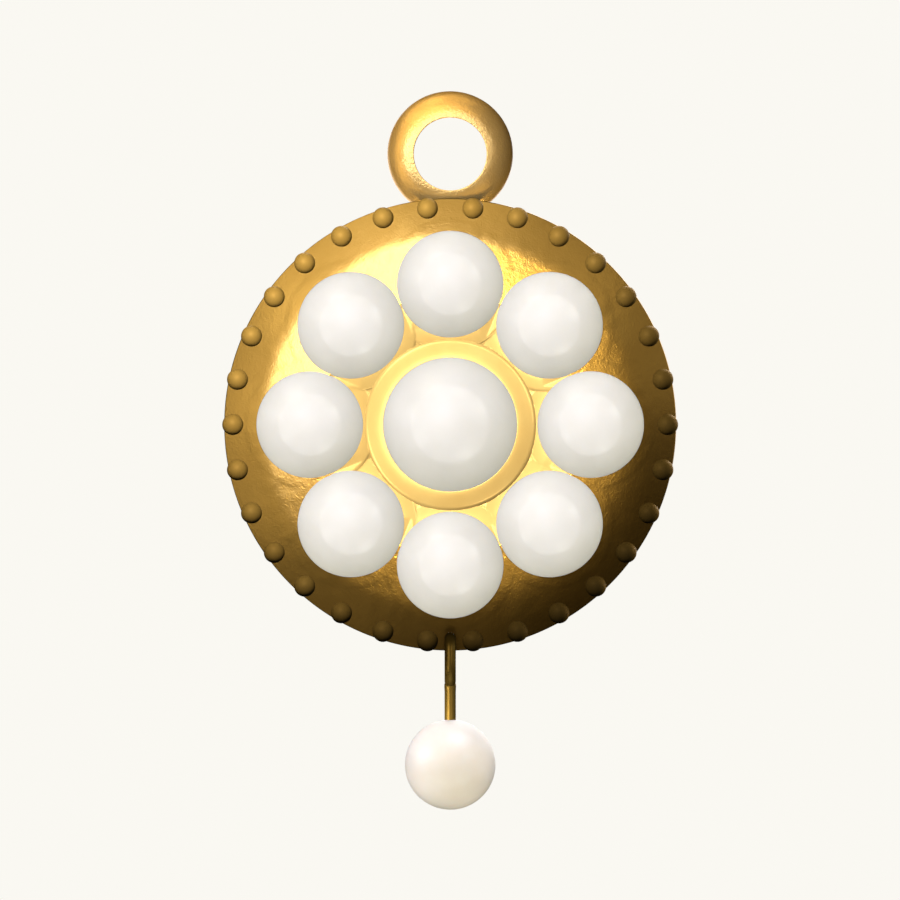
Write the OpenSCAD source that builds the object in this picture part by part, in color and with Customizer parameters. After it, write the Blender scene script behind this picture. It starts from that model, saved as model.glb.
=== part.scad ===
// Polki pendant: a domed gilt plate with nine cabochon polki in rounded collets,
// thirty granules round the rim, a fixed bail ring, and one pearl that hangs from
// a wire loop threaded through the foot of the rim.
//
// Millimetres. +Z is up and -Y faces the viewer. The origin is the centre of the
// bail ring's eye, where the pendant hangs.

/* [Plate] */
// Radius of the round plate at its back edge
plate_r = 20; // [19.7:0.1:20.4]
// Radius of the sphere that the front of the plate follows
dome_sphere_r = 60; // [56:1:66]
// Radius that rounds the dome over into the edge
edge_round_r = 2.8; // [2.6:0.1:3]
// Thickness of the flat sheet let into the back
back_sheet_t = 0.6; // [0.5:0.05:0.6]

/* [Stones] */
// Radius of the middle stone at its widest
centre_stone_r = 5.93; // [5.8:0.01:5.98]
// Radius of each stone in the ring at its widest
outer_stone_r = 4.72; // [4.6:0.01:4.73]
// Distance from the middle of the plate to the middle of each stone in the ring
stone_ring_r = 12.43; // [12.4:0.01:12.5]
// Height of a stone's dome over its widest line, as a share of its radius
stone_dome = 0.8; // [0.7:0.05:0.85]

/* [Collets] */
// Outer radius of the middle collet
centre_collet_r = 7.52; // [7.4:0.01:7.55]
// Outer radius of each collet in the ring
outer_collet_r = 5.85; // [5.75:0.01:5.87]
// Height of the middle collet's edge over the back of the plate
centre_collet_h = 3.6; // [3.55:0.05:3.7]
// Height of the edges of the collets in the ring over the back of the plate
outer_collet_h = 3; // [2.9:0.05:3.05]

/* [Granules] */
// Number of granules round the rim
granule_n = 30; // [26:4:30]
// Radius of one granule
granule_r = 0.93; // [0.88:0.01:0.96]

/* [Bail] */
// Width of the bail ring's band, from the eye out to its outer edge
bail_w = 2.34; // [2.2:0.02:2.4]
// Radius of the eye, the clear hole in the bail ring
bail_eye_r = 3.22; // [3.15:0.01:3.3]

/* [Pearl drop] */
// Radius of the pearl
pearl_r = 4; // [3.8:0.05:4.1]
// Distance from the middle of the plate down to the middle of the pearl
pearl_drop = 30.08; // [30:0.02:31]
// Radius of the pin's wire
pin_r = 0.5; // [0.48:0.01:0.52]
// Radial room between the wire and the hole that it turns in
pin_play = 0.1; // [0.08:0.01:0.1]

/* [Hidden] */
$fn = 96;

GOLD = [0.85, 0.63, 0.27];
POLKI = [0.95, 0.94, 0.9];
NACRE = [0.98, 0.94, 0.86];

// Everything below is modelled lying on its back, with the middle of the plate's
// back face at 0,0,0, y towards the bail and z towards the viewer.
bail_z = -0.4;                               // middle of the bail ring's depth
bail_crest = 0.19;                           // from the eye's edge to the crest
bail_up = plate_r + 3.95;                    // plate's middle to the eye's middle

floor_z = 2.2;                               // recess that the collets stand in
recess_r = 12.9;
cavity_top_z = 1.6;                          // hollow behind the recess
cavity_r = plate_r - 3.6;
rebate_r = plate_r - 2.6;                    // seat of the back sheet
rebate_depth = back_sheet_t + 0.05;

// The edge round's circle is widest just in front of the plate's back face.
round_c_r = plate_r - edge_round_r;
round_c_z = 0.1;
// Where the dome's sphere meets the edge round, and the sphere's middle from it.
meet_r = round_c_r + edge_round_r * 0.305;
meet_z = round_c_z + sqrt(pow(edge_round_r, 2) - pow(meet_r - round_c_r, 2));
sphere_z = meet_z - sqrt(pow(dome_sphere_r, 2) - pow(meet_r, 2));

// Each collet's top is a shallow sphere, with this slope at the collet's edge.
collet_slope = 30;
seat_gap = 0.08;                             // round the stone in its seat
seat_under = 0.04;                           // under the stone
centre_seat_z = 2.8;
outer_seat_z = 2.35;
notch_r = 1.2;                               // clears the knife edge between two seats
notch_z = 2.7;

granule_ring_r = plate_r - 0.73;
granule_z = 2.05;

// The pin's hinge is the hole's own axis, front to back through the rim.
hinge_y = -(plate_r - 1.05);
hole_r = pin_r + pin_play;
loop_back_z = -0.8;                          // middle line of the back leg
loop_front_z = 2.95;                         // middle line of the front leg
loop_bend_r = 0.8;
loop_leg = 1.1;                              // straight part of each leg
loop_foot_r = (loop_front_z - loop_back_z) / 2;
shank_z = (loop_front_z + loop_back_z) / 2;
loop_foot_y = hinge_y - loop_bend_r - loop_leg;
pin_in_pearl = 3;                            // how deep the pin is cemented in

// Puts a piece modelled on the plate's back into the upright frame.
module upright() {
    translate([0, bail_z, -bail_up]) rotate([90, 0, 0]) children();
}

// Middle of stone i of the ring, 1 at the right and counting up anticlockwise.
module at_stone(i) {
    rotate([0, 0, 45 * (i - 1)]) translate([stone_ring_r, 0, 0]) rotate([0, 0, -45 * (i - 1)]) children();
}

// Section of the domed plate, from the axis out to the edge.
module plate_section() {
    difference() {
        intersection() {
            translate([0, sphere_z]) circle(r = dome_sphere_r, $fn = 720);
            union() {
                square([round_c_r, 8]);
                translate([round_c_r, round_c_z]) circle(r = edge_round_r);
            }
            square([plate_r + 1, 8]);
        }
        translate([-1, floor_z]) square([recess_r + 1, 8]);
    }
}

// A collet with a gently rounded top, before its seat is cut.
module collet(r, edge_z) {
    ball_r = r / sin(collet_slope);
    rotate_extrude() intersection() {
        translate([0, edge_z - ball_r * cos(collet_slope)]) circle(r = ball_r, $fn = 360);
        translate([0, floor_z - 0.3]) square([r, 6]);
    }
}

module seat(stone_r, z) {
    translate([0, 0, z]) cylinder(r = stone_r + seat_gap, h = 7);
}

// The bail's band is flat behind and rounded in front, with its crest by the eye.
module bail_ring() {
    translate([0, bail_up, bail_z]) rotate_extrude() intersection() {
        translate([bail_eye_r + bail_crest, bail_crest - bail_w / 2]) circle(r = bail_w - bail_crest);
        translate([bail_eye_r, -bail_w / 2]) square(2 * bail_w);
    }
}

// The soldered metalwork: plate, collets, granules and bail ring are one piece.
module setting() {
    color(GOLD) upright() difference() {
        union() {
            rotate([0, 0, 18]) rotate_extrude() plate_section();
            rotate([0, 0, 7]) collet(centre_collet_r, centre_collet_h);
            for (i = [1:8]) at_stone(i) rotate([0, 0, 45 * i + 125]) collet(outer_collet_r, outer_collet_h);
            for (i = [0:granule_n - 1])
                rotate([0, 0, i * 360 / granule_n]) translate([granule_ring_r, 0, granule_z]) rotate([0, 0, 50]) sphere(r = granule_r);
            bail_ring();
        }
        translate([0, 0, -0.01]) cylinder(r = rebate_r, h = rebate_depth + 0.01);
        cylinder(r = cavity_r, h = cavity_top_z);
        seat(centre_stone_r, centre_seat_z);
        for (i = [1:8]) at_stone(i) seat(outer_stone_r, outer_seat_z);
        for (i = [1:8]) rotate([0, 0, 45 * i - 22.5]) translate([stone_ring_r * cos(22.5), 0, notch_z]) rotate([0, 0, 40]) cylinder(r = notch_r, h = 7);
        translate([0, hinge_y, -1]) cylinder(r = hole_r, h = 5);
    }
}

// Flat sheet that closes the back, held by the burnished edge of its rebate.
module back_plate() {
    color(GOLD) upright() translate([0, 0, 0.03]) difference() {
        cylinder(r = rebate_r - 0.08, h = back_sheet_t - 0.01);
        // a shallow bevel round the sheet's outer face
        rotate_extrude() polygon([[rebate_r - 0.28, -0.1], [rebate_r, -0.1], [rebate_r, 0.2]]);
    }
}

// One cabochon. Its dome breaks gently at 0.585 of its radius into a flatter
// crown, and below its widest line it draws in to sit in its seat.
module cabochon(r) {
    side_r = 1.407 * r;
    crown_r = 1.074 * r;
    girdle_z = 0.288 * r;
    squash = stone_dome / 0.8;
    side_x = -0.338 * r;
    side_z = girdle_z + 0.627 * r * squash - sqrt(pow(side_r, 2) - pow(0.585 * r - side_x, 2));
    crown_z = girdle_z + 0.627 * r * squash - sqrt(pow(crown_r, 2) - pow(0.585 * r, 2));
    rotate_extrude() {
        intersection() {
            translate([side_x, side_z]) circle(r = side_r, $fn = 360);
            translate([0, crown_z]) circle(r = crown_r, $fn = 360);
            translate([0, girdle_z]) square([r, 2 * r]);
        }
        polygon([
            [0, 0], [0.9 * r, 0], [0.95 * r, 0.14 * r], [r, girdle_z],
            [0.9 * r, girdle_z + 0.06 * r], [0, girdle_z + 0.06 * r]
        ]);
    }
}

module centre_stone() {
    color(POLKI) upright() translate([0, 0, centre_seat_z + seat_under]) cabochon(centre_stone_r);
}

module outer_stone(i) {
    color(POLKI) upright() at_stone(i) translate([0, 0, outer_seat_z + seat_under]) cabochon(outer_stone_r);
}

// Part of a round bend of the pin's wire, drawn in x,y, from angle a over span.
module bend(r, a, span) {
    rotate([0, 0, a]) rotate_extrude(angle = span) translate([r, 0]) circle(r = pin_r);
}

// Straight length of the pin's wire, drawn in x,y.
module run(p, q) {
    d = q - p;
    translate([p[0], p[1], 0]) rotate([0, 0, atan2(d[1], d[0])]) rotate([0, 90, 0]) cylinder(r = pin_r, h = norm(d));
}

// The wire that carries the pearl: a long loop through the rim's hole, closed on
// a straight shank. Drawn flat with x towards the viewer, then stood on edge.
module drop_pin() {
    bend_y = hinge_y - loop_bend_r;
    top_back = loop_back_z + loop_bend_r;
    top_front = loop_front_z - loop_bend_r;
    color(GOLD) upright() rotate([0, -90, 0]) union() {
        run([top_back, hinge_y], [top_front, hinge_y]);
        translate([top_front, bend_y, 0]) bend(loop_bend_r, 0, 90);
        translate([top_back, bend_y, 0]) bend(loop_bend_r, 90, 90);
        run([loop_front_z, loop_foot_y], [loop_front_z, bend_y]);
        run([loop_back_z, loop_foot_y], [loop_back_z, bend_y]);
        translate([shank_z, loop_foot_y, 0]) bend(loop_foot_r, 180, 180);
        run([shank_z, loop_foot_y - loop_foot_r + 0.1], [shank_z, -pearl_drop + pearl_r - pin_in_pearl]);
    }
}

// Half-drilled pearl, cemented on the end of the pin.
module pearl() {
    color(NACRE) upright() translate([0, -pearl_drop, shank_z]) difference() {
        sphere(r = pearl_r);
        translate([0, pearl_r - pin_in_pearl - 0.05, 0]) rotate([-90, 0, 0]) cylinder(r = pin_r + 0.04, h = pearl_r);
    }
}

setting();
back_plate();
centre_stone();
outer_stone(1);  // outer_stone_1
outer_stone(2);  // outer_stone_2
outer_stone(3);  // outer_stone_3
outer_stone(4);  // outer_stone_4
outer_stone(5);  // outer_stone_5
outer_stone(6);  // outer_stone_6
outer_stone(7);  // outer_stone_7
outer_stone(8);  // outer_stone_8
drop_pin();
pearl();
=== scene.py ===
import math

import bmesh
import bpy
import numpy as np
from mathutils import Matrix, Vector, geometry, kdtree, noise

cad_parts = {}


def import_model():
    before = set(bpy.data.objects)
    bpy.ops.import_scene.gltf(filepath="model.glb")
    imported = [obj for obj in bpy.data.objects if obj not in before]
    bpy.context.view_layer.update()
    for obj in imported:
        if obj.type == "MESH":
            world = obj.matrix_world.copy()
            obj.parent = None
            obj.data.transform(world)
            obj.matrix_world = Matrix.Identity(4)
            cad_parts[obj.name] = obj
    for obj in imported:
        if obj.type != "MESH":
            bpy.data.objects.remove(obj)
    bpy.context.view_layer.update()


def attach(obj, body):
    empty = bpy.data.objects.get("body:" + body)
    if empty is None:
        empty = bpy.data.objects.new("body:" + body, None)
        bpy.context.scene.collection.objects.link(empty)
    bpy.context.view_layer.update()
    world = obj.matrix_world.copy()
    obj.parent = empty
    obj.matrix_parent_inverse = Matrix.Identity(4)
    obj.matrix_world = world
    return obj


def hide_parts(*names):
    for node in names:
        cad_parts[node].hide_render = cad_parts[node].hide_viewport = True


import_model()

# ---------------------------------------------------------------- dimensions
# Millimetres, lying on its back: x right, y towards the bail, z to the viewer,
# with the middle of the plate's back face at 0,0,0.
PLATE_R = 20.0
BAIL_Z, BAIL_UP = -0.4, 23.95
RING_R = 12.43                      # ring of the eight smaller stones
STONE_R, CENTRE_R = 4.72, 5.93
SEAT_R, CENTRE_SEAT_R = 4.655, 5.865
BAND_R, CENTRE_BAND_R = 5.93, 7.60
OUTER_SEAT_Z, CENTRE_SEAT_Z = 2.35, 2.8
HOLE_Y, HOLE_R, HOLE_N = -18.95, 0.506, 32
GRANULE_R, GRANULE_RING, GRANULE_Z = 0.93, 19.25, 2.05
PEARL_R, PEARL_Y, SHANK_Z = 4.0, -30.08, 1.075
STONES = [(RING_R * math.cos(math.radians(45 * i)), RING_R * math.sin(math.radians(45 * i))) for i in range(8)]


def world(p):
    """A point of the flat millimetre frame, in the row frame in metres."""
    x, y, z = p
    return (x * 0.001, (BAIL_Z - z) * 0.001, (y - BAIL_UP) * 0.001)


def world_array(co):
    out = np.empty_like(co)
    out[:, 0] = co[:, 0]
    out[:, 1] = BAIL_Z - co[:, 2]
    out[:, 2] = co[:, 1] - BAIL_UP
    return out * 0.001


def piece(name, co, faces, mats, sharp=40.0, slots=None):
    """A mesh piece from points in the flat frame."""
    me = bpy.data.meshes.new(name)
    me.from_pydata(world_array(np.asarray(co, float)).tolist(), [], faces)
    me.validate()
    bm = bmesh.new()
    bm.from_mesh(me)
    bmesh.ops.recalc_face_normals(bm, faces=bm.faces)
    bm.to_mesh(me)
    bm.free()
    for m in mats:
        me.materials.append(m)
    if slots is not None:
        me.polygons.foreach_set("material_index", np.asarray(slots, np.int32))
    me.polygons.foreach_set("use_smooth", np.ones(len(me.polygons), bool))
    me.set_sharp_from_angle(angle=math.radians(sharp))
    me.update()
    o = bpy.data.objects.new(name, me)
    bpy.context.scene.collection.objects.link(o)
    return o


def lathe(profile, n, base=0):
    """Rings of points for a profile of (r, z), closed at ends that lie on the axis."""
    co, faces, rings = [], [], []
    for r, z in profile:
        if r < 1e-9:
            rings.append([base + len(co)])
            co.append((0.0, 0.0, z))
        else:
            rings.append([base + len(co) + k for k in range(n)])
            co += [(r * math.cos(2 * math.pi * k / n), r * math.sin(2 * math.pi * k / n), z) for k in range(n)]
    for a, b in zip(rings, rings[1:]):
        for k in range(n):
            k2 = (k + 1) % n
            if len(a) == 1:
                faces.append((a[0], b[k], b[k2]))
            elif len(b) == 1:
                faces.append((a[k], b[0], a[k2]))
            else:
                faces.append((a[k], b[k], b[k2], a[k2]))
    return co, faces


# ---------------------------------------------------------------- materials
def shader(name):
    m = bpy.data.materials.new(name)
    m.use_nodes = True
    nt = m.node_tree
    return m, nt, nt.nodes["Principled BSDF"]


def node(nt, kind, **settings):
    n = nt.nodes.new(kind)
    for k, v in settings.items():
        if k.startswith("in_"):
            n.inputs[int(k[3:]) if k[3:].isdigit() else k[3:].replace("_", " ")].default_value = v
        else:
            setattr(n, k, v)
    return n


def ramp(nt, source, stops):
    r = node(nt, "ShaderNodeValToRGB")
    e = r.color_ramp.elements
    e[0].position, e[0].color = stops[0][0], (*stops[0][1], 1)
    e[1].position, e[1].color = stops[-1][0], (*stops[-1][1], 1)
    for pos, col in stops[1:-1]:
        x = e.new(pos)
        x.color = (*col, 1)
    nt.links.new(source, r.inputs[0])
    return r.outputs[0]


def mapped(nt, scale, rotation=(0, 0, 0)):
    tc = node(nt, "ShaderNodeTexCoord")
    mp = node(nt, "ShaderNodeMapping")
    mp.inputs["Scale"].default_value = scale
    mp.inputs["Rotation"].default_value = rotation
    nt.links.new(tc.outputs["Object"], mp.inputs["Vector"])
    return mp.outputs["Vector"]


def noise_at(nt, vector, scale, detail=3.0, rough=0.55, distortion=0.0):
    n = node(nt, "ShaderNodeTexNoise")
    n.inputs["Scale"].default_value = scale
    n.inputs["Detail"].default_value = detail
    n.inputs["Roughness"].default_value = rough
    n.inputs["Distortion"].default_value = distortion
    nt.links.new(vector, n.inputs["Vector"])
    return n.outputs["Fac"]


def bump_chain(nt, bsdf, layers):
    """Bump from a list of (height output, strength, distance in metres)."""
    last = None
    for height, strength, distance in layers:
        b = node(nt, "ShaderNodeBump")
        b.inputs["Strength"].default_value = strength
        b.inputs["Distance"].default_value = distance
        nt.links.new(height, b.inputs["Height"])
        if last is not None:
            nt.links.new(last, b.inputs["Normal"])
        last = b.outputs["Normal"]
    nt.links.new(last, bsdf.inputs["Normal"])


def gold(name, light, dark, metallic, rough_lo, rough_hi, ripple, grain):
    m, nt, b = shader(name)
    v = mapped(nt, (1000, 1000, 1000))
    b.inputs["Metallic"].default_value = metallic
    b.inputs["Specular IOR Level"].default_value = 0.1
    tone = noise_at(nt, v, 0.22, 4.0, 0.6)
    nt.links.new(ramp(nt, tone, [(0.30, dark), (0.70, light)]), b.inputs["Base Color"])
    wear = noise_at(nt, v, 0.9, 4.0, 0.6)
    rr = ramp(nt, wear, [(0.25, (rough_lo,) * 3), (0.75, (rough_hi,) * 3)])
    nt.links.new(rr, b.inputs["Roughness"])
    layers = []
    if ripple:
        # planishing marks: short shallow dents, drawn out a little by the hammer
        dents = noise_at(nt, mapped(nt, (1000, 1000, 1000), (0.3, 0.5, 0.2)), 3.6, 2.0, 0.5, 0.9)
        layers.append((dents, 1.0, ripple))
    if grain:
        layers.append((noise_at(nt, v, 7.0, 1.0, 0.5), 1.0, grain))
    if layers:
        bump_chain(nt, b, layers)
    return m


GOLD_LIGHT = (0.86, 0.478, 0.108)
GOLD_DARK = (0.74, 0.398, 0.080)
m_dome = gold("gilt_hammered", (0.825, 0.458, 0.100), (0.775, 0.421, 0.089), 1.0, 0.277, 0.286, 0.000016, 0.0000004)
m_collet = gold("gilt_foil", (0.98, 0.64, 0.19), (0.93, 0.57, 0.155), 0.35, 0.38, 0.46, 0.0, 0.000002)
m_granule = gold("gilt_granule", (0.88, 0.50, 0.095), (0.80, 0.44, 0.078), 0.1, 0.5, 0.6, 0.0, 0.000003)
m_bail = gold("gilt_bail", GOLD_LIGHT, GOLD_DARK, 0.6, 0.279, 0.312, 0.000030, 0.000001)
m_back = gold("gilt_back", (0.80, 0.44, 0.09), (0.66, 0.35, 0.062), 0.9, 0.42, 0.58, 0.00003, 0.000006)
m_wire = gold("gilt_wire", (0.80, 0.475, 0.085), (0.70, 0.40, 0.065), 0.6, 0.40, 0.48, 0.0, 0.000003)


def stone_material():
    m, nt, b = shader("polki")
    v = mapped(nt, (1000, 1000, 1000))
    cloud = noise_at(nt, v, 0.28, 4.0, 0.55)
    nt.links.new(ramp(nt, cloud, [(0.3, (0.865, 0.832, 0.735)), (0.7, (0.905, 0.873, 0.785))]), b.inputs["Base Color"])
    b.inputs["Roughness"].default_value = 0.42
    b.inputs["Subsurface Weight"].default_value = 0.25
    b.inputs["Subsurface Radius"].default_value = (1.0, 0.9, 0.75)
    b.inputs["Subsurface Scale"].default_value = 0.0012
    b.inputs["Specular IOR Level"].default_value = 0.35
    b.inputs["IOR"].default_value = 1.55
    bump_chain(nt, b, [(noise_at(nt, v, 0.5, 2.0, 0.5), 1.0, 0.00001)])
    return m


def pearl_material():
    m, nt, b = shader("nacre")
    v = mapped(nt, (1000, 1000, 1000))
    cloud = noise_at(nt, v, 0.35, 4.0, 0.55)
    nt.links.new(ramp(nt, cloud, [(0.3, (0.90, 0.80, 0.66)), (0.7, (0.94, 0.86, 0.745))]), b.inputs["Base Color"])
    b.inputs["Roughness"].default_value = 0.45
    b.inputs["Subsurface Weight"].default_value = 0.25
    b.inputs["Subsurface Radius"].default_value = (1.0, 0.8, 0.6)
    b.inputs["Subsurface Scale"].default_value = 0.001
    b.inputs["Coat Weight"].default_value = 0.12
    b.inputs["Coat Roughness"].default_value = 0.4
    b.inputs["Sheen Weight"].default_value = 0.05
    bump_chain(nt, b, [(noise_at(nt, v, 0.4, 3.0, 0.5), 1.0, 0.000012)])
    return m


m_stone = stone_material()
m_pearl = pearl_material()

# ---------------------------------------------------------------- plate surface
BASE_H, DOME_C = 0.45, 4.2
LIP_Z, GIRDLE_Z = 3.56, 3.73
TILE_K = 0.035                      # the collets lap like scales, down to the lower right
TILE_U = (math.cos(math.radians(-45)), math.sin(math.radians(-45)))


# radius and outward slope: a shallow dome as far as a soft shoulder, and a steeper band to the rim
SLOPES = ((11.5, 0.175), (16.1, 0.245), (17.2, 0.47), (20.0, 0.56))
SLOPES_LOW = ((11.5, 0.175), (15.0, 0.235), (18.7, 0.51), (20.0, 0.56))    # towards the lower right


def dome_z(r, slopes=SLOPES):
    """Height of the dome from r 11.5 out to the rim's rounded edge."""
    r = np.asarray(r, float)
    z = np.full_like(r, BASE_H + DOME_C * math.sqrt(1 - (11.5 / PLATE_R) ** 2))
    for (r0, s0), (r1, s1) in zip(slopes, slopes[1:]):
        q = np.clip(r - r0, 0, r1 - r0)
        z = z - (s0 * q + (s1 - s0) / (r1 - r0) / 2 * q * q)
    u = np.clip((r - 19.95) / 0.05, 0, 1)
    return z - 0.05 * (1 - np.sqrt(1 - u * u))


def base_z(r):
    """The dome as far in as the stones touch, and the lower floor inside that."""
    knots = [0, 7.4, 9.0, 10.2, 11.0, 11.5]
    inner = np.interp(r, knots, [2.85, 2.95, 3.15, 3.40, 3.62, float(dome_z(11.5))])
    return np.where(r < 11.5, inner, dome_z(np.maximum(r, 11.5)))


def surface_z(x, y):
    r = np.hypot(x, y)
    towards = (x * TILE_U[0] + y * TILE_U[1]) / np.maximum(r, 1e-6)
    # hammer marks run across the shoulder, so its edge wanders
    shift = np.zeros_like(r)
    for k in np.nonzero((r > 14.9) & (r < 18.3))[0]:
        u, v = x[k] / r[k], y[k] / r[k]
        mark = noise.noise(Vector((u * 15, v * 15, r[k] * 0.3)))
        shift[k] = 0.05 * mark * min((r[k] - 14.9) / 0.9, 1.0, (18.3 - r[k]) / 0.9)
    z = base_z(r + shift)
    low = np.clip((towards - 0.1) / 0.75, 0, 1)
    low = low * low * (3 - 2 * low)
    z = np.where(r > 11.5, z + (dome_z(np.maximum(r + shift, 11.5), SLOPES_LOW) - z) * low, z)
    lift = np.zeros_like(z)
    seat = np.full_like(z, 1e9)
    outside = np.clip((r - 11.1) / 0.7, 0, 1)
    outside = outside * outside * (3 - 2 * outside)
    for cx, cy in STONES:
        dx, dy = x - cx, y - cy
        rho = np.hypot(dx, dy)
        t = np.clip((rho - SEAT_R) / (BAND_R - SEAT_R), 0, 1)
        body = 0.42 - 0.27 * t ** 1.35 + TILE_K * (dx * TILE_U[0] + dy * TILE_U[1])
        # outside the ring the collets' skirts lie almost flush with the dome
        body = body + (0.009 + 0.003 * np.sin(math.pi * t) - body) * outside
        u = np.clip((rho - (BAND_R - 0.20)) / 0.20, 0, 1)
        w = np.clip((rho - (BAND_R - 0.45)) / 0.45, 0, 1)
        crisp, soft = np.sqrt(1 - u ** 2), 1 - w * w * (3 - 2 * w)
        body = np.maximum(body, 0) * (crisp + (soft - crisp) * outside)
        lift = np.maximum(lift, np.where(rho <= BAND_R, body, 0))
        seat = np.minimum(seat, rho)
    # a collet rises no higher than the widest part of its stone, and its lip reaches the stone all round
    z = z + np.minimum(lift, np.maximum(GIRDLE_Z - 0.25 * np.clip(seat - SEAT_R, 0, 1) - z, 0.0))
    z = np.maximum(z, np.where(seat < 4.70, LIP_Z - 10.0 * (seat - SEAT_R), 0))
    t = np.clip((r - CENTRE_R) / (CENTRE_BAND_R - CENTRE_R), 0, 1)
    band = 4.42 - 0.62 * t ** 1.5 - 0.9 * np.clip(CENTRE_R - r, 0, None)
    u = np.clip((r - (CENTRE_BAND_R - 0.30)) / 0.30, 0, 1)
    band = 3.0 + (band - 3.0) * np.sqrt(1 - u ** 2)
    z = np.where(r <= CENTRE_BAND_R, np.maximum(z, band), z)
    z = np.where(seat < SEAT_R - 0.004, OUTER_SEAT_Z, z)
    z = np.where(r < CENTRE_SEAT_R - 0.004, CENTRE_SEAT_Z, z)
    return z


def ring_points(cx, cy, r, n, turn=0.0):
    a = (np.arange(n) + turn) * 2 * math.pi / n
    return np.column_stack([cx + r * np.cos(a), cy + r * np.sin(a)])


RIM_N = 720


def plate_points():
    sets = []
    # the rim's outermost rings first: the side wall joins on to the last of them
    for r in (20.0, 19.993, 19.98, 19.965, 19.947, 19.91, 19.85, 19.76, 19.62):
        sets.append((ring_points(0, 0, r, RIM_N), 0.004))
    for r in (HOLE_R, HOLE_R + 0.03, HOLE_R + 0.08, HOLE_R + 0.16, HOLE_R + 0.28):
        sets.append((ring_points(0, HOLE_Y, r, HOLE_N), 0.004))
    for r, n in [(CENTRE_SEAT_R - 0.03, 300), (CENTRE_SEAT_R, 300), (5.90, 300), (5.94, 300)]:
        sets.append((ring_points(0, 0, r, n), 0.004))
    for rho in (SEAT_R - 0.03, SEAT_R):
        for j, (cx, cy) in enumerate(STONES):
            p = ring_points(cx, cy, rho, 240)
            for k, (ox, oy) in enumerate(STONES):
                if k != j:
                    p = p[np.hypot(p[:, 0] - ox, p[:, 1] - oy) > SEAT_R + 0.012]
            sets.append((p, 0.004))
    for r in (5.99, 6.07, 6.16, 6.26, 6.4, 6.55, 6.7, 6.85, 7.0, 7.13, 7.24, 7.31, 7.37, 7.43, 7.48, 7.52, 7.555, 7.58, 7.595, 7.605, 7.63):
        sets.append((ring_points(0, 0, r, 360), 0.012))
    for rho in (4.69, 4.73, 4.78, 4.84, 4.91, 5.0, 5.12, 5.25, 5.38, 5.51, 5.62, 5.70, 5.75, 5.80, 5.845, 5.88, 5.905, 5.922, 5.93, 5.945, 6.03):
        for j, (cx, cy) in enumerate(STONES):
            p = ring_points(cx, cy, rho, 260)
            r = np.hypot(p[:, 0], p[:, 1])
            p = p[(r > 7.66) & (r < 19.6)]
            for k, (ox, oy) in enumerate(STONES):
                if k != j:
                    p = p[np.hypot(p[:, 0] - ox, p[:, 1] - oy) > SEAT_R + 0.03]
            sets.append((p, 0.03))
    for r in np.arange(7.75, 19.55, 0.145):
        n = int(2 * math.pi * r / 0.155)
        sets.append((ring_points(0, 0, r, n, 0.37 * (r * 7 % 1)), 0.085))
    for cx, cy, s in [(0, 0, CENTRE_SEAT_R)] + [(a, b, SEAT_R) for a, b in STONES]:
        for f in (0.0, 0.25, 0.5, 0.7, 0.85):
            sets.append((ring_points(cx, cy, s * f, max(1, int(40 * f))), 0.05))
    return sets


def thinned(sets):
    """The points of every set in turn, without any that crowd a point already taken."""
    cell, grid, kept = 0.1, {}, []
    for pts, gap in sets:
        for x, y in pts.tolist():
            i, j = int(math.floor(x / cell)), int(math.floor(y / cell))
            near = False
            for a in (i - 1, i, i + 1):
                for b in (j - 1, j, j + 1):
                    for px, py in grid.get((a, b), ()):
                        if (px - x) ** 2 + (py - y) ** 2 < gap * gap:
                            near = True
                            break
                    if near:
                        break
                if near:
                    break
            if not near:
                grid.setdefault((i, j), []).append((x, y))
                kept.append((x, y))
    return kept


def inside_seat(x, y):
    """True under a stone, where points of the open surface aren't wanted."""
    if math.hypot(x, y) < CENTRE_SEAT_R - 0.001:
        return True
    return any(math.hypot(x - a, y - b) < SEAT_R - 0.001 for a, b in STONES)


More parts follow.
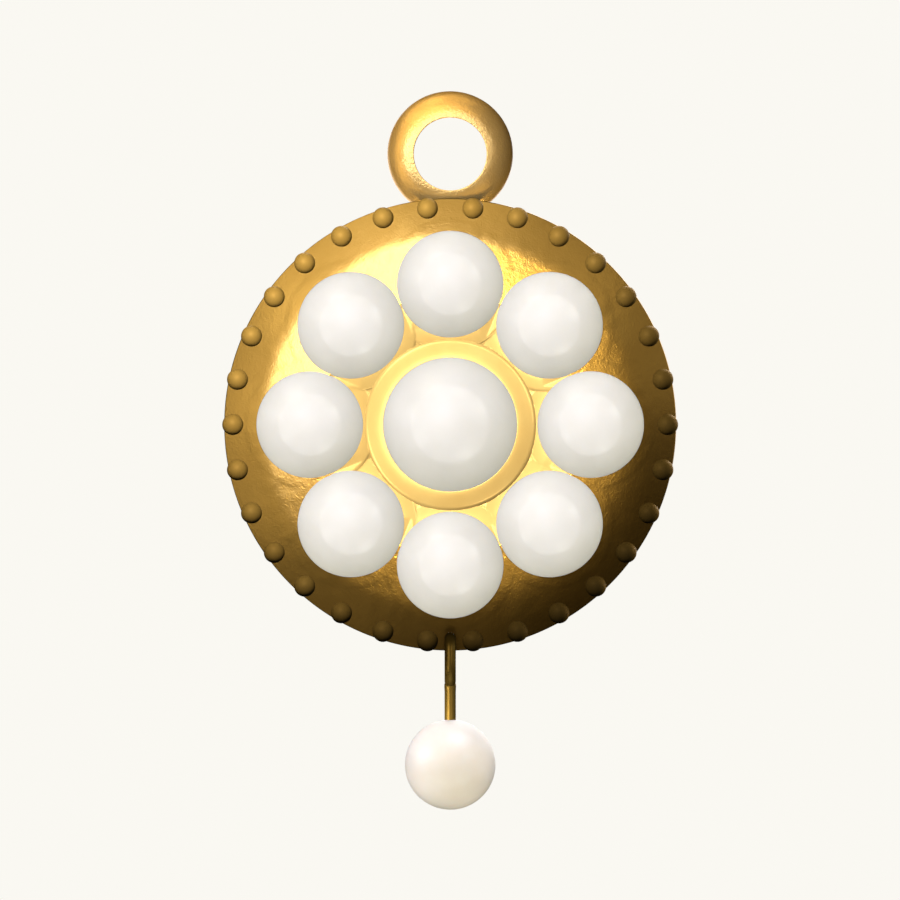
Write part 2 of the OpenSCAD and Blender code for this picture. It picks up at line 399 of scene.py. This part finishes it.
def build_setting():
    raw = plate_points()
    sets = []
    for n, (p, gap) in enumerate(raw):
        d = np.hypot(p[:, 0], p[:, 1] - HOLE_Y)
        if gap >= 0.012:
            p = p[d > HOLE_R + 0.32]
        if gap == 0.085:
            keep = [not inside_seat(x, y) and min(math.hypot(x - a, y - b) for a, b in STONES) > 4.85 for x, y in p.tolist()]
            p = p[np.asarray(keep, bool)]
        sets.append((p, gap))
    pts = thinned(sets)
    co2, _, tris, orig, _, _ = geometry.delaunay_2d_cdt([Vector(p) for p in pts], [], [], 0, 1e-7)
    xy = np.array([(v.x, v.y) for v in co2])
    z = surface_z(xy[:, 0], xy[:, 1])
    r = np.hypot(xy[:, 0], xy[:, 1])
    # planished surface: shallow dents on the dome, none on the foil round the stones
    d_hole = np.hypot(xy[:, 0], xy[:, 1] - HOLE_Y)
    fade = np.clip((r - 11.2) / 0.8, 0, 1) * np.clip((19.6 - r) / 0.8, 0, 1) * np.clip((d_hole - 0.8) / 0.5, 0, 1)
    nearest = np.min([np.hypot(xy[:, 0] - a, xy[:, 1] - b) for a, b in STONES], axis=0)
    fade = fade * np.clip((nearest - SEAT_R - 0.01) / 0.1, 0, 1)
    for k in np.nonzero(fade > 0)[0]:
        x, y = xy[k]
        dent = noise.noise(Vector((x * 1.05, y * 1.05, 3.1))) + 0.55 * noise.noise(Vector((x * 2.3, y * 2.3, 8.7)))
        z[k] += 0.004 * dent * fade[k]
    co = [(a, b, c) for (a, b), c in zip(xy.tolist(), z.tolist())]
    faces, slots = [], []
    for t in tris:
        cx = sum(xy[i][0] for i in t) / 3
        cy = sum(xy[i][1] for i in t) / 3
        if math.hypot(cx, cy - HOLE_Y) < HOLE_R - 0.001:
            continue
        faces.append(tuple(t))
        slots.append(1 if math.hypot(cx, cy) < 11.45 else 0)

    def find(ring):
        tree = kdtree.KDTree(len(co))
        for i, p in enumerate(co):
            tree.insert((p[0], p[1], 0), i)
        tree.balance()
        return [tree.find((x, y, 0))[1] for x, y in ring.tolist()]

    rim = find(ring_points(0, 0, 20.0, RIM_N))
    hole_front = find(ring_points(0, HOLE_Y, HOLE_R, HOLE_N))

    def strip(a, b, n, slot):
        for k in range(n):
            faces.append((a[k], b[k], b[(k + 1) % n], a[(k + 1) % n]))
            slots.append(slot)

    def ring(radius, height):
        start = len(co)
        co.extend((x, y, height) for x, y in ring_points(0, 0, radius, RIM_N).tolist())
        return list(range(start, start + RIM_N))

    last = rim
    for rr, h in ((20.0, 0.75), (20.0, 0.5), (20.0, 0.2), (19.985, 0.12), (19.94, 0.05), (19.87, 0.01), (19.78, 0.0)):
        new = ring(rr, h)
        strip(last, new, RIM_N, 0)
        last = new
    # the flat back of the rim, with the pin's hole through it
    back_sets = [
        (ring_points(0, 0, 17.46, RIM_N), 0.004),
        (ring_points(0, HOLE_Y, HOLE_R + 0.05, HOLE_N), 0.004),
        (ring_points(0, HOLE_Y, HOLE_R + 0.15, 48), 0.02),
    ]
    for rr in np.arange(17.75, 19.6, 0.3):
        p = ring_points(0, 0, rr, 360)
        back_sets.append((p[np.hypot(p[:, 0], p[:, 1] - HOLE_Y) > HOLE_R + 0.3], 0.1))
    outer = ring_points(0, 0, 19.78, RIM_N)
    pts2 = thinned([(outer, 0.004)] + back_sets)
    c2, _, t2, _, _, _ = geometry.delaunay_2d_cdt([Vector(p) for p in pts2], [], [], 0, 1e-7)
    start = len(co)
    co.extend((v.x, v.y, 0.0) for v in c2)
    tree = kdtree.KDTree(len(c2))
    for i, v in enumerate(c2):
        tree.insert((v.x, v.y, 0), start + i)
    tree.balance()

    def find2(rp):
        return [tree.find((x, y, 0))[1] for x, y in rp.tolist()]

    # the outermost ring of the back is the last ring of the side wall
    same = dict(zip(find2(outer), last))
    for t in t2:
        cx = sum(c2[i].x for i in t) / 3
        cy = sum(c2[i].y for i in t) / 3
        if math.hypot(cx, cy) < 17.46 or math.hypot(cx, cy - HOLE_Y) < HOLE_R + 0.049:
            continue
        ids = [same.get(start + i, start + i) for i in t]
        faces.append(tuple(reversed(ids)))
        slots.append(2)
    inner = find2(ring_points(0, 0, 17.46, RIM_N))
    hole_back = find2(ring_points(0, HOLE_Y, HOLE_R + 0.05, HOLE_N))
    start = len(co)
    co.extend((x, y, 0.05) for x, y in ring_points(0, HOLE_Y, HOLE_R, HOLE_N).tolist())
    hole_low = list(range(start, start + HOLE_N))
    strip(hole_back, hole_low, HOLE_N, 2)
    strip(hole_low, hole_front, HOLE_N, 2)
    last = inner
    for rr, h in ((17.42, 0.02), (17.40, 0.06), (17.40, 0.65), (16.4, 0.65), (16.4, 1.6)):
        new = ring(rr, h)
        strip(last, new, RIM_N, 2)
        last = new
    start = len(co)
    co.append((0.0, 0.0, 1.6))
    for k in range(RIM_N):
        faces.append((last[k], start, last[(k + 1) % RIM_N]))
        slots.append(2)
    used = sorted({i for f in faces for i in f})
    renum = {i: n for n, i in enumerate(used)}
    co = [co[i] for i in used]
    faces = [tuple(renum[i] for i in f) for f in faces]
    # the foil and collets are a thin body of their own, let into the plate
    foil_faces = [f for f, k in zip(faces, slots) if k == 1]
    used = sorted({i for f in foil_faces for i in f})
    renum = {i: n for n, i in enumerate(used)}
    top = [co[i] for i in used]
    up = [tuple(renum[i] for i in f) for f in foil_faces]
    n = len(top)
    seen = {}
    for f in up:
        for a, b in zip(f, f[1:] + f[:1]):
            seen[(a, b)] = seen.get((a, b), 0) + 1
    wall = [(a, b) for a, b in seen if (b, a) not in seen]
    foil_co = top + [(x, y, z - 0.3) for x, y, z in top]
    foil_all = up + [tuple(n + i for i in reversed(f)) for f in up] + [(b, a, n + a, n + b) for a, b in wall]
    foil = piece("setting_foil", foil_co, foil_all, [m_collet], 52.0)
    low = []
    for x, y, z in co:
        r = math.hypot(x, y)
        low.append((x, y, z - 0.15 * min(max((11.47 - r) / 0.1, 0.0), 1.0) if z > 2.0 else z))
    plate = piece("setting_plate", low, faces, [m_dome, m_back], 52.0, [1 if k == 2 else 0 for k in slots])
    return plate, foil


plate, foil = build_setting()
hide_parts("setting")
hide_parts("setting")


# ---------------------------------------------------------------- granules
def build_granules():
    co, faces = [], []
    rings, seg = 20, 40
    for g in range(30):
        a = math.radians(12 * g)
        cx, cy = GRANULE_RING * math.cos(a), GRANULE_RING * math.sin(a)
        seed = Vector((g * 3.7, g * 1.3, 0))
        base = len(co)
        co.append((cx, cy, GRANULE_Z + GRANULE_R))
        for i in range(1, rings):
            th = math.pi * i / rings
            for k in range(seg):
                ph = 2 * math.pi * k / seg
                n = Vector((math.sin(th) * math.cos(ph), math.sin(th) * math.sin(ph), math.cos(th)))
                rad = GRANULE_R * (1 + 0.012 * noise.noise(n * 1.3 + seed))
                co.append((cx + n.x * rad, cy + n.y * rad, GRANULE_Z + n.z * rad))
        co.append((cx, cy, GRANULE_Z - GRANULE_R))
        end = len(co) - 1
        for k in range(seg):
            k2 = (k + 1) % seg
            faces.append((base, base + 1 + k, base + 1 + k2))
            for i in range(rings - 2):
                p, q = base + 1 + i * seg, base + 1 + (i + 1) * seg
                faces.append((p + k, q + k, q + k2, p + k2))
            p = base + 1 + (rings - 2) * seg
            faces.append((p + k, end, p + k2))
    return piece("rim_granules", co, faces, [m_granule], 60.0)


granules = build_granules()
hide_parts("setting")


# ---------------------------------------------------------------- bail ring
def build_bail():
    eye, width = 3.22, 2.34
    rad = 2.44
    cr, cz = eye + width - rad, width / 2 - rad
    prof = []
    for k in range(0, 49):                       # front, from the eye's edge to the outer edge
        t = math.radians(86.9 - 80.5 * k / 48)
        prof.append((cr + rad * math.cos(t), cz + rad * math.sin(t)))
    prof += [(cr + rad - 0.005, -width / 2 + 0.11), (cr + rad - 0.04, -width / 2 + 0.06), (cr + rad - 0.1, -width / 2 + 0.015), (cr + rad - 0.2, -width / 2)]
    for k in range(1, 8):
        prof.append((cr + rad - 0.2 - (width - 0.4) * k / 8, -width / 2))
    prof += [(eye + 0.2, -width / 2), (eye + 0.1, -width / 2 + 0.02), (eye + 0.03, -width / 2 + 0.08), (eye, -width / 2 + 0.2)]
    for k in range(1, 8):
        prof.append((eye, -width / 2 + 0.2 + (width - 0.42) * k / 8))
    top = cz + rad
    prof += [(eye, top - 0.10), (eye + 0.003, top - 0.04), (eye + 0.012, top - 0.013)]
    n, co, faces = 300, [], []
    m = len(prof)
    for k in range(n):
        a = 2 * math.pi * k / n
        for j, (r, z) in enumerate(prof):
            x, y = math.cos(a) * r, math.sin(a) * r
            w = 0.5 if z < -0.9 or r < eye + 0.05 else 1.0
            d = noise.noise(Vector((x * 0.95, y * 0.95, z * 0.95 + 5.0))) + 0.5 * noise.noise(Vector((x * 2.2, y * 2.2, z * 2.2 + 9.0)))
            s = 0.009 * d * w
            nr, nz = (r - cr) / rad, (z - cz) / rad
            if r < eye + 0.02:
                nr, nz = -1.0, 0.0
            elif z < 0.01 - width / 2:
                nr, nz = 0.0, -1.0
            co.append((math.cos(a) * (r + nr * s), math.sin(a) * (r + nr * s) + BAIL_UP, z + nz * s + BAIL_Z))
    for k in range(n):
        k2 = (k + 1) % n
        for j in range(m):
            j2 = (j + 1) % m
            faces.append((k * m + j, k * m + j2, k2 * m + j2, k2 * m + j))
    return piece("bail_ring", co, faces, [m_bail], 60.0)


bail = build_bail()
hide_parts("setting")


# ---------------------------------------------------------------- back sheet
def build_back():
    rr = 17.4 - 0.08
    prof = [(0.0, 0.05)]
    prof += [(0.6 * k, 0.05 - 0.012 * math.sin(math.pi * k / 28)) for k in range(1, 28)]
    prof += [(17.0, 0.05), (17.12, 0.062), (17.2, 0.085), (17.27, 0.13), (rr, 0.2), (rr, 0.6), (16.8, 0.61), (0.0, 0.61)]
    co, faces = lathe(prof, 180)
    out = []
    for x, y, z in co:
        if z < 0.06:
            z += 0.006 * noise.noise(Vector((x * 0.7, y * 0.7, 1.7)))
        out.append((x, y, z))
    return piece("back_sheet", out, [tuple(reversed(f)) for f in faces], [m_back], 50.0)


back = build_back()
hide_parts("back_plate")


# ---------------------------------------------------------------- stones
def stone_profile(r):
    girdle = 0.288 * r
    side_r, side_x, crown_r = 1.407 * r, -0.338 * r, 1.074 * r
    shoulder = girdle + 0.627 * r
    side_z = shoulder - math.sqrt(side_r ** 2 - (0.585 * r - side_x) ** 2)
    crown_z = shoulder - math.sqrt(crown_r ** 2 - (0.585 * r) ** 2)
    prof = [(0.0, crown_z + crown_r)]
    for k in range(1, 26):
        f = 0.575 * k / 25
        prof.append((f * r, crown_z + math.sqrt(crown_r ** 2 - (f * r) ** 2)))
    prof.append((0.585 * r, shoulder - 0.0016 * r))
    for k in range(0, 34):
        f = 0.595 + (0.990 - 0.595) * (k / 33) ** 0.8
        prof.append((f * r, side_z + math.sqrt(side_r ** 2 - (f * r - side_x) ** 2)))
    edge = side_z + math.sqrt(side_r ** 2 - (r - side_x) ** 2)
    prof += [(0.9965 * r, edge + 0.006 * r), (r, edge - 0.012 * r), (0.995 * r, edge - 0.035 * r)]
    prof += [(0.975 * r, girdle - 0.075 * r), (0.95 * r, 0.14 * r), (0.925 * r, 0.05 * r), (0.90 * r, 0.012 * r), (0.88 * r, 0.0), (0.4 * r, 0.0), (0.0, 0.0)]
    return prof


def build_stone(name, cx, cy, r, z0, seed):
    co, faces = lathe(stone_profile(r), 128)
    out = []
    for x, y, z in co:
        f = math.hypot(x, y) / r
        w = 0.0035 * r * max(0.0, 1 - f ** 4) if z > 0.3 * r else 0.0
        z += w * noise.noise(Vector((x * 0.32 + seed, y * 0.32 - seed, z * 0.3)))
        out.append((x + cx, y + cy, z + z0 + 0.04))
    return piece(name, out, faces, [m_stone], 30.0)


stones = [build_stone("stone_centre", 0, 0, CENTRE_R, CENTRE_SEAT_Z, 2.3)]
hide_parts("centre_stone")
for i, (sx, sy) in enumerate(STONES):
    s = build_stone("stone_outer_%d" % (i + 1), sx, sy, STONE_R, OUTER_SEAT_Z, 5.1 + 2.7 * i)
    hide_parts("outer_stone_%d" % (i + 1))
    stones.append(s)


# ---------------------------------------------------------------- pin
def build_pin():
    rad = 0.5
    zb, zf, bend = -0.8, 2.95, 0.8
    foot = (zf - zb) / 2
    leg_y = HOLE_Y - bend - 1.1
    path = []                                   # (y, z), round the loop from its foot
    for k in range(25):
        t = math.radians(-90 + 90 * k / 24)
        path.append((leg_y + foot * math.sin(t), SHANK_Z + foot * math.cos(t)))
    for k in range(1, 7):
        path.append((leg_y + 1.1 * k / 6, zf))
    for k in range(1, 13):
        t = math.radians(90 * k / 12)
        path.append((HOLE_Y - bend + bend * math.sin(t), zf - bend + bend * math.cos(t)))
    for k in range(1, 12):
        path.append((HOLE_Y, zf - bend + (zb + bend - (zf - bend)) * k / 11))
    for k in range(1, 13):
        t = math.radians(90 + 90 * k / 12)
        path.append((HOLE_Y - bend + bend * math.sin(t), zb + bend + bend * math.cos(t)))
    for k in range(1, 7):
        path.append((HOLE_Y - bend - 1.1 * k / 6, zb))
    for k in range(1, 24):
        t = math.radians(180 + 90 * k / 24)
        path.append((leg_y + foot * math.sin(t), SHANK_Z + foot * math.cos(t)))
    seg = 32
    co, faces = [], []
    n = len(path)
    for k in range(n):
        y0, z0 = path[(k - 1) % n]
        y1, z1 = path[(k + 1) % n]
        ty, tz = y1 - y0, z1 - z0
        ln = math.hypot(ty, tz)
        ty, tz = ty / ln, tz / ln
        ny, nz = -tz, ty
        y, z = path[k]
        # the wire fills its hole
        fill = rad + 0.0055 if abs(y - HOLE_Y) < 1e-6 and 0.2 < z < 0.9 else rad
        for j in range(seg):
            a = 2 * math.pi * j / seg
            c, s = math.cos(a) * fill, math.sin(a) * fill
            co.append((s, y + ny * c, z + nz * c))
    for k in range(n):
        k2 = (k + 1) % n
        for j in range(seg):
            j2 = (j + 1) % seg
            faces.append((k * seg + j, k * seg + j2, k2 * seg + j2, k2 * seg + j))
    # the shank, flared where it is soldered to the foot of the loop
    top = leg_y - foot
    ends = [(top + 0.05, 0.42), (top - 0.25, 0.515), (top - 0.42, 0.525), (top - 0.62, 0.515), (top - 0.9, 0.5)]
    low = PEARL_Y + PEARL_R - 3.0
    ends += [(top - 0.9 + (low - top + 0.9) * k / 14, 0.5) for k in range(1, 14)]
    ends += [(low + 0.06, 0.5), (low, 0.44)]
    base = len(co)
    for y, rr in ends:
        for j in range(seg):
            a = 2 * math.pi * j / seg
            co.append((math.cos(a) * rr, y, SHANK_Z + math.sin(a) * rr))
    for k in range(len(ends) - 1):
        for j in range(seg):
            j2 = (j + 1) % seg
            p, q = base + k * seg, base + (k + 1) * seg
            faces.append((p + j, p + j2, q + j2, q + j))
    faces.append(tuple(base + j for j in reversed(range(seg))))
    p = base + (len(ends) - 1) * seg
    faces.append(tuple(p + j for j in range(seg)))
    return piece("drop_wire", co, faces, [m_wire], 50.0)


pin = build_pin()
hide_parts("drop_pin")


# ---------------------------------------------------------------- pearl
def build_pearl():
    n, m = 128, 96
    hole = 0.54
    t0 = math.asin(hole / PEARL_R)
    rows = []
    for i in range(m + 1):
        t = t0 + (math.pi - t0) * i / m
        rows.append((PEARL_R * math.sin(t), PEARL_R * math.cos(t)))
    lip = rows[0][1]
    prof = [(0.0, 0.95), (hole, 0.95), (hole, 2.0), (hole, lip - 0.15), (hole + 0.015, lip - 0.03)] + rows[1:-1] + [(0.0, -PEARL_R)]
    co, faces = lathe(prof, n)
    out = []
    for x, y, z in co:
        v = Vector((x, y, z))
        k = 1 + 0.0035 * noise.noise(v * 0.33 + Vector((4, 2, 7)))
        if math.hypot(x, y) < 0.6 and z > 0:
            k = 1.0
        out.append((x * k, PEARL_Y + z * k, SHANK_Z - y * k))
    return piece("pearl_drop", out, faces, [m_pearl], 50.0)


pearl = build_pearl()
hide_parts("pearl")

for o in [plate, foil, granules, bail, back] + stones:
    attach(o, "pendant")
for o in (pin, pearl):
    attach(o, "drop")

# ---------------------------------------------------------------- floor
def build_floor():
    m, nt, b = shader("paper")
    v = mapped(nt, (1, 1, 1))
    n1 = noise_at(nt, v, 3.0, 2.0, 0.5)
    col = ramp(nt, n1, [(0.2, (0.952, 0.936, 0.884)), (0.8, (0.958, 0.942, 0.892))])
    b.inputs["Base Color"].default_value = (0, 0, 0, 1)
    m.cycles.emission_sampling = "NONE"
    b.inputs["Specular IOR Level"].default_value = 0.0
    b.inputs["Roughness"].default_value = 1.0
    nt.links.new(col, b.inputs["Emission Color"])
    b.inputs["Emission Strength"].default_value = 1.0
    me = bpy.data.meshes.new("floor")
    s, z = 0.6, -0.074
    me.from_pydata([(-s, -s, z), (s, -s, z), (s, s, z), (-s, s, z)], [], [(0, 1, 2, 3)])
    me.materials.append(m)
    o = bpy.data.objects.new("floor", me)
    bpy.context.scene.collection.objects.link(o)
    o.visible_diffuse = False
    o.visible_glossy = False
    o.visible_shadow = False
    return o


floor = build_floor()

# every piece shows the lights and not its neighbours, as under very soft light
for o in [plate, foil, granules, bail, back, pin, pearl] + stones:
    o.visible_glossy = False
    o.visible_diffuse = False

# ---------------------------------------------------------------- lights
def group(name, objs):
    c = bpy.data.collections.new(name)
    for o in objs:
        c.objects.link(o)
    return c


g_plate = group("lit_plate", [plate])
g_foil = group("lit_foil", [foil])
g_bail = group("lit_bail", [bail])
g_wire = group("lit_wire", [pin])
g_granules = group("lit_granules", [granules])
g_stones = group("lit_stones", stones)
g_pearl = group("lit_pearl", [pearl])
g_blockers = group("shadows", [plate, bail, back, pin])
g_behind = group("shadows_behind", [back])
PLATE_C = Vector((0, -0.003, -0.02395))


def softbox(name, tilt, azimuth, dist, size, power, colour=(1, 1, 1), only=None, size_y=None):
    """A soft area light, tilt degrees off the line to the camera towards azimuth."""
    t, a = math.radians(tilt), math.radians(azimuth)
    d = Vector((math.sin(t) * math.cos(a), -math.cos(t), math.sin(t) * math.sin(a)))
    li = bpy.data.lights.new(name, "AREA")
    li.shape = "RECTANGLE" if size_y else "DISK"
    li.size = size
    if size_y:
        li.size_y = size_y
    li.energy = power
    li.color = colour
    o = bpy.data.objects.new(name, li)
    bpy.context.scene.collection.objects.link(o)
    o.location = PLATE_C + d * dist
    o.rotation_mode = "QUATERNION"
    o.rotation_quaternion = d.to_track_quat("Z", "Y")
    if only is not None:
        o.light_linking.receiver_collection = only
    o.light_linking.blocker_collection = g_blockers
    return o


def spot(name, tilt, azimuth, dist, aim, half, power, only):
    """A spot with a fully soft edge, half degrees wide, aimed at a point of the flat frame (mm)."""
    t, a = math.radians(tilt), math.radians(azimuth)
    d = Vector((math.sin(t) * math.cos(a), -math.cos(t), math.sin(t) * math.sin(a)))
    li = bpy.data.lights.new(name, "SPOT")
    li.spot_size = math.radians(2 * half)
    li.spot_blend = 1.0
    li.shadow_soft_size = 0.003
    li.energy = power
    o = bpy.data.objects.new(name, li)
    bpy.context.scene.collection.objects.link(o)
    target = Vector(world(aim))
    o.location = target + d * dist
    o.rotation_mode = "QUATERNION"
    o.rotation_quaternion = d.to_track_quat("Z", "Y")
    o.light_linking.receiver_collection = only
    o.light_linking.blocker_collection = g_blockers
    return o


# (tilt, azimuth, distance, size, watts) of each group's soft boxes: the keys, up to 40
# degrees off the line of sight, are cool, and the broad side lights are warm
FRONT, WHITE = (1.0, 0.92, 0.6), (1.0, 1.0, 1.0)
for tag, only, key, broad, boxes in (
    ("plate", g_plate, (0.97, 1.1, 1.65), (1.0, 1.0, 0.85), [
        (0, 0, 0.5, 0.14, 1.5), (14, 80, 0.5, 0.16, 0.65), (34, 103, 0.5, 0.16, 0.36), (24, 126, 0.5, 0.16, 0.14),
        (24, 149, 0.5, 0.16, 0.21), (24, 172, 0.5, 0.16, 0.14), (65, 93, 0.45, 0.3, 0.13), (50, 126, 0.45, 0.3, 0.165),
        (50, 159, 0.45, 0.3, 0.12), (50, 192, 0.45, 0.3, 0.09), (50, 60, 0.45, 0.3, 0.08), (55, 25, 0.45, 0.3, 0.036),
        (55, 227, 0.45, 0.3, 0.022), (55, 262, 0.45, 0.3, 0.008), (85, 126, 0.45, 0.4, 0.10), (122, 126, 0.45, 0.4, 0.16)]),
    ("foil", g_foil, WHITE, WHITE, [
        (85, 118, 0.45, 0.4, 2.2), (85, 208, 0.45, 0.4, 1.9), (85, 28, 0.45, 0.4, 1.42), (12, 118, 0.5, 0.08, 1.19),
        (18, 208, 0.5, 0.15, 0.83), (75, 298, 0.5, 0.15, 0.59), (75, 73, 0.5, 0.15, 0.57), (28, 73, 0.5, 0.15, 0.23)]),
    ("bail", g_bail, (1.0, 1.25, 2.3), (1.04, 0.91, 0.58), [
        (12, 150, 0.5, 0.2, 0.42), (24, 30, 0.5, 0.22, 0.15), (24, 90, 0.5, 0.24, 0.36), (36, 150, 0.5, 0.24, 0.38),
        (36, 180, 0.5, 0.24, 0.5), (50, 90, 0.45, 0.4, 0.43), (50, 120, 0.45, 0.4, 0.64), (70, 150, 0.45, 0.4, 0.36),
        (70, 180, 0.45, 0.4, 0.25), (70, 210, 0.45, 0.4, 0.25), (65, 285, 0.45, 0.7, 0.7), (95, 90, 0.45, 0.4, 0.33),
        (95, 120, 0.45, 0.4, 0.5), (95, 270, 0.45, 0.5, 5.0), (41, 290, 0.5, 0.4, 0.12)]),
    ("wire", g_wire, WHITE, (1.0, 1.15, 1.4), [
        (30, 180, 0.5, 0.15, 0.15), (30, 0, 0.5, 0.15, 0.09), (85, 0, 0.45, 0.3, 0.05), (85, 270, 0.45, 0.3, 0.09)]),
    ("stones", g_stones, (1.0, 1.0, 1.9), (1.0, 0.99, 0.92), [
        (58, 28, 0.5, 0.15, 1.09), (75, 118, 0.5, 0.15, 0.88), (58, 298, 0.5, 0.15, 0.83), (75, 163, 0.5, 0.15, 0.76),
        (58, 208, 0.5, 0.15, 0.74), (58, 73, 0.5, 0.15, 0.68), (58, 253, 0.5, 0.15, 0.54), (28, 118, 0.5, 0.08, 0.38)]),
    ("pearl_up", g_pearl, WHITE, (1.0, 1.01, 1.12), [
        (75, 73, 0.45, 0.3, 2.42), (75, 163, 0.45, 0.3, 1.86), (75, 208, 0.45, 0.3, 0.19), (75, 343, 0.45, 0.3, 0.35)]),
    ("pearl_low", g_pearl, WHITE, (1.0, 0.98, 0.86), [(50, 253, 0.45, 0.3, 0.6), (50, 298, 0.45, 0.3, 0.93)]),
):
    for n, (tilt, azimuth, dist, size, power) in enumerate(boxes):
        colour = broad if tilt > 40 else FRONT if tilt < 16 and tag == "plate" else key
        box = softbox("%s_%d" % (tag, n + 1), tilt, azimuth, dist, size, power, colour, only)
        if tag == "foil":
            box.light_linking.blocker_collection = g_behind
# the granules are picked out by a soft spot that fades away from the upper left of the rim
spot("granules_1", 20, 126, 0.08, (-11.2, 15.4, 2.0), 23.5, 0.215, g_granules)
softbox("granules_2", 0, 0, 0.5, 0.5, 0.03, (1.0, 1.2, 2.0), g_granules)
# the pin's shank is lit more towards the pearl
spot("wire_5", 45, 200, 0.04, (0, -27.6, 1.5), 8.5, 0.045, g_wire)
softbox("back_fill", 150, 60, 0.5, 0.5, 2.0, only=group("lit_behind", [plate, back, pin, granules]))
softbox("back_fill_bail", 168, 240, 0.5, 0.5, 1.0, only=g_bail)
softbox("side_fill", 98, 10, 0.45, 0.4, 0.35, only=g_plate)
softbox("side_fill_granules", 112, 20, 0.45, 0.4, 0.3, only=g_granules)
fill = softbox("back_fill_soft", 150, 60, 0.5, 0.5, 1.4, only=group("lit_behind_soft", stones + [pearl]))
fill.light_linking.blocker_collection = group("all_shadows", [plate, bail, back, pin, granules, pearl] + stones)

w = bpy.data.worlds.new("studio")
bpy.context.scene.world = w
w.use_nodes = True
bg = w.node_tree.nodes["Background"]
bg.inputs["Color"].default_value = (0.956, 0.940, 0.888, 1)
bg.inputs["Strength"].default_value = 1.0
w.cycles_visibility.diffuse = False
w.cycles_visibility.glossy = False
w.cycles_visibility.transmission = False
w.cycles_visibility.scatter = False

# ---------------------------------------------------------------- camera
cam = bpy.data.cameras.new("camera")
cam.type = "ORTHO"
cam.ortho_scale = 0.07965
cam.clip_start, cam.clip_end = 0.01, 5
camera = bpy.data.objects.new("camera", cam)
bpy.context.scene.collection.objects.link(camera)
camera.location = (-0.0000177, -0.6, -0.0261979)
camera.rotation_euler = (math.radians(90), 0, 0)
bpy.context.scene.camera = camera
bpy.context.scene.view_settings.view_transform = "Standard"
bpy.context.scene.view_settings.look = "None"
